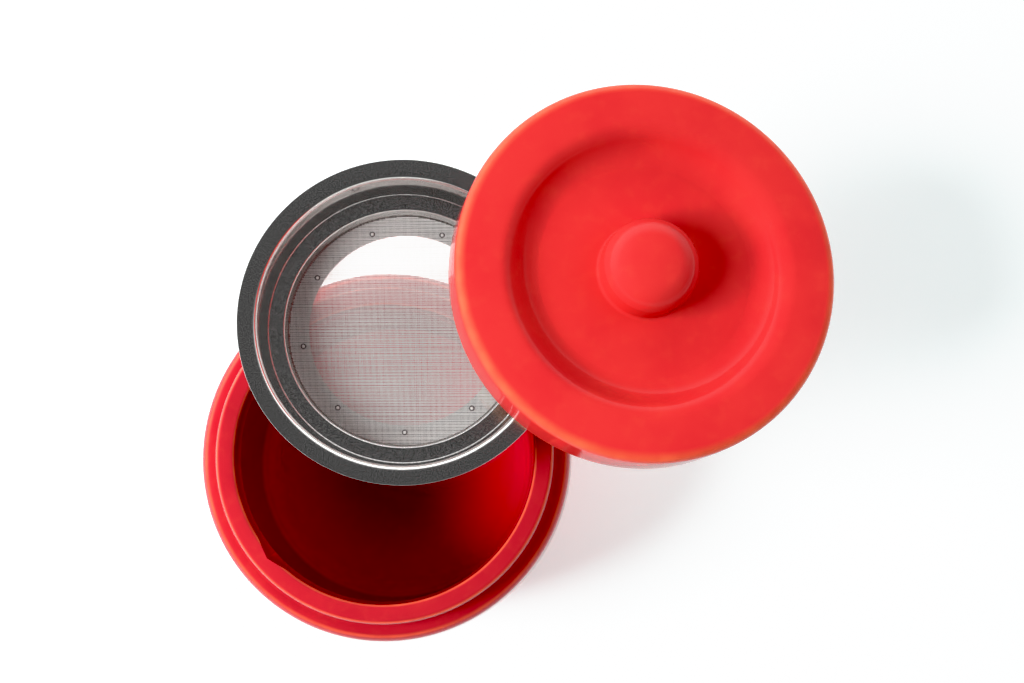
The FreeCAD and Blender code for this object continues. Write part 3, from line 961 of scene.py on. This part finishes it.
def red_glaze(name, reds, gloss, matrix, edges):
    glaze = Finish(name)
    spot = glaze.place(matrix)
    radius, height = glaze.around(spot)
    cloud = glaze.noise(spot, *CLOUD)
    # Orange near each edge: thin glaze, and partly a painted highlight where the rounding catches
    # the light.
    thin_and_highlight = 0.0
    for edge_radius, edge_height, reach in edges:
        across, up = radius - edge_radius * MM, height - edge_height * MM
        away = (across * across + up * up) ** 0.5
        thin_and_highlight = (1.0 - (away / (reach * MM)).rise(0.0, 1.0)) + thin_and_highlight
    patchy = glaze.noise(spot, *PATCHES).rise(*PATCHES_SPAN)
    colour = glaze.mix(cloud.rise(*CLOUD_SPAN), *reds)
    mottle = glaze.noise(spot, *MOTTLE).rise(*MOTTLE_SPAN)
    colour = glaze.mix(mottle * MOTTLE_SHARE, colour, THIN_GLAZE_AND_HIGHLIGHT)
    if matrix is None:
        # The jar's inside: painted light on the bore, and painted shade towards the middle of the
        # floor.
        inside = (1.0 - radius.rise(*span(INSIDE_LIGHT_EDGE))).least(
            1.0 - height.rise(*span(INSIDE_LIGHT_TOP)))
        floor_shade = 1.0 - radius.rise(*span(FLOOR_SHADE_SPAN))
        colour = glaze.mix(inside, colour, glaze.mix(floor_shade, JAR_INSIDE_PAINTED_LIGHT, JAR_FLOOR_PAINTED_SHADE))
    # Orange where the glaze runs thin, partly a painted highlight.
    colour = glaze.mix(thin_and_highlight.least(1.0) * (patchy * THIN_AND_HIGHLIGHT_PATCHY + THIN_AND_HIGHLIGHT_LEAST), colour, THIN_GLAZE_AND_HIGHLIGHT)
    wave = glaze.noise(spot, *WAVE)
    grain = glaze.noise(spot, *GRAIN)
    soft = glaze.bump(wave, WAVE_DEPTH * MM, WAVE_STRENGTH)
    bare = 1.0 - height.rise(*span(BARE_FOOT))
    glaze.surface(Base_Color=glaze.mix(bare, colour, CLAY), IOR=GLAZE_IOR,
                  Specular_IOR_Level=gloss,
                  Roughness=cloud * CLOUD_ROUGH + bare * CLAY_ROUGH + GLAZE_ROUGH,
                  Normal=glaze.bump(grain, GRAIN_DEPTH * MM, GRAIN_STRENGTH, soft))
    return glaze.block


jar.data.materials.append(red_glaze("red_glaze_jar", JAR_REDS_WITH_PAINTED_SHADE, JAR_GLOSS, None, JAR_THIN_AND_HIGHLIGHT_EDGES))
lid.data.materials.append(red_glaze("red_glaze_lid", LID_REDS, LID_GLOSS, LID_PLACE, LID_THIN_AND_HIGHLIGHT_EDGES))

# %% [markdown]
# ## Steel
#
# Pressed sheet keeps the mill's satin where it stayed flat and is burnished by the die where it
# was drawn. So roughness follows the section: satin on the flange and the step, bright on the
# bends and walls, with fine specks over all of it and a grit of light and dark on the satin.

# %% Steel and wire
STEEL = (0.84, 0.83, 0.815)
STEEL_DULL = (0.62, 0.615, 0.61)
STEEL_BRIGHT = (0.98, 0.97, 0.96)
FLANGE_SATIN = (STRAINER_WALL - 0.2, STRAINER_WALL + 1.2)
STEP_SATIN = 0.7             # how far above and below the step the satin reaches
STEEL_SPECKS, GRIT_SPAN = (2600.0, 2.0), (0.35, 0.65)
STEEL_ROUGH, SATIN_ROUGH, SPECKS_ROUGH = 0.06, 0.12, 0.08
SPECKS_DEPTH, SPECKS_STRENGTH = 0.01, 0.3
WIRE_COLOUR, WIRE_ROUGH = (0.95, 0.94, 0.92), 0.45
WIRE_SPECKLE, WIRE_METALLIC = 900.0, 0.1


def pressed_steel():
    steel = Finish("pressed_steel")
    spot = steel.place(STRAINER_PLACE)
    radius, height = steel.around(spot)
    flange = radius.rise(*span(FLANGE_SATIN))
    step = ((height - STEP_HEIGHT * MM).size() / (STEP_SATIN * MM)).rise(0.0, 1.0)
    satin = flange.most(1.0 - step)
    speck = steel.noise(spot, *STEEL_SPECKS)
    rough = satin * SATIN_ROUGH + STEEL_ROUGH + speck * SPECKS_ROUGH
    grit = steel.mix(speck.rise(*GRIT_SPAN), STEEL_DULL, STEEL_BRIGHT)
    steel.surface(Base_Color=steel.mix(satin, STEEL, grit), Metallic=1.0, Roughness=rough,
                  Normal=steel.bump(speck, SPECKS_DEPTH * MM, SPECKS_STRENGTH))
    return steel.block


strainer.data.materials.append(pressed_steel())
for wires in (weft, warp):
    wires.data.materials.append(plain_metal(
        wires.name + "_wire", WIRE_COLOUR, WIRE_ROUGH, WIRE_SPECKLE, WIRE_METALLIC))

# %% [markdown]
# ## The table
#
# A plain white sheet under everything, its red a little lower than its green and blue, which holds
# back the red light that the jar throws into its shadow: painted shade. It belongs to the studio
# and not to the container.

# %% Table
TABLE_SIZE = 6.0
# Red set a little lower, as painted shade against the jar's red light on the paper.
TABLE_WHITE_LESS_RED = (0.71, 0.80, 0.80)
TABLE_GLOW = 0.36
PAPER_ROUGH = 0.9
WHITE = (1.0, 1.0, 1.0, 1.0)


def make_table():
    bpy.ops.object.select_all(action="DESELECT")
    bpy.ops.mesh.primitive_plane_add(size=TABLE_SIZE, location=(0, 0, 0))
    table = bpy.context.object
    table.name = "table"
    paper = Finish("white_paper")
    paper.surface(Base_Color=(*TABLE_WHITE_LESS_RED, 1.0), Roughness=PAPER_ROUGH,
                  Specular_IOR_Level=0.0, Emission_Color=WHITE, Emission_Strength=TABLE_GLOW)
    table.data.materials.append(paper.block)


make_table()

# %% [markdown]
# ## Putting the pieces on their bodies
#
# Each piece rides on the body that carries its CAD piece, so it moves when that body moves, and
# takes the place of the CAD piece in the picture.

# %% Ride and replace
for piece, body, node, slot in (
    (jar, "jar", "jar", "jar_glaze"),
    (lid, "lid", "lid", "lid_glaze"),
    (strainer, "strainer", "strainer_frame", "strainer_steel"),
    (weft, "strainer", "strainer_mesh", "woven_wire"),
    (warp, "strainer", "strainer_mesh", "woven_wire"),
    (welds, "strainer", "mesh_welds", "weld_metal"),
):
    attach(piece, body)
    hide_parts(node)
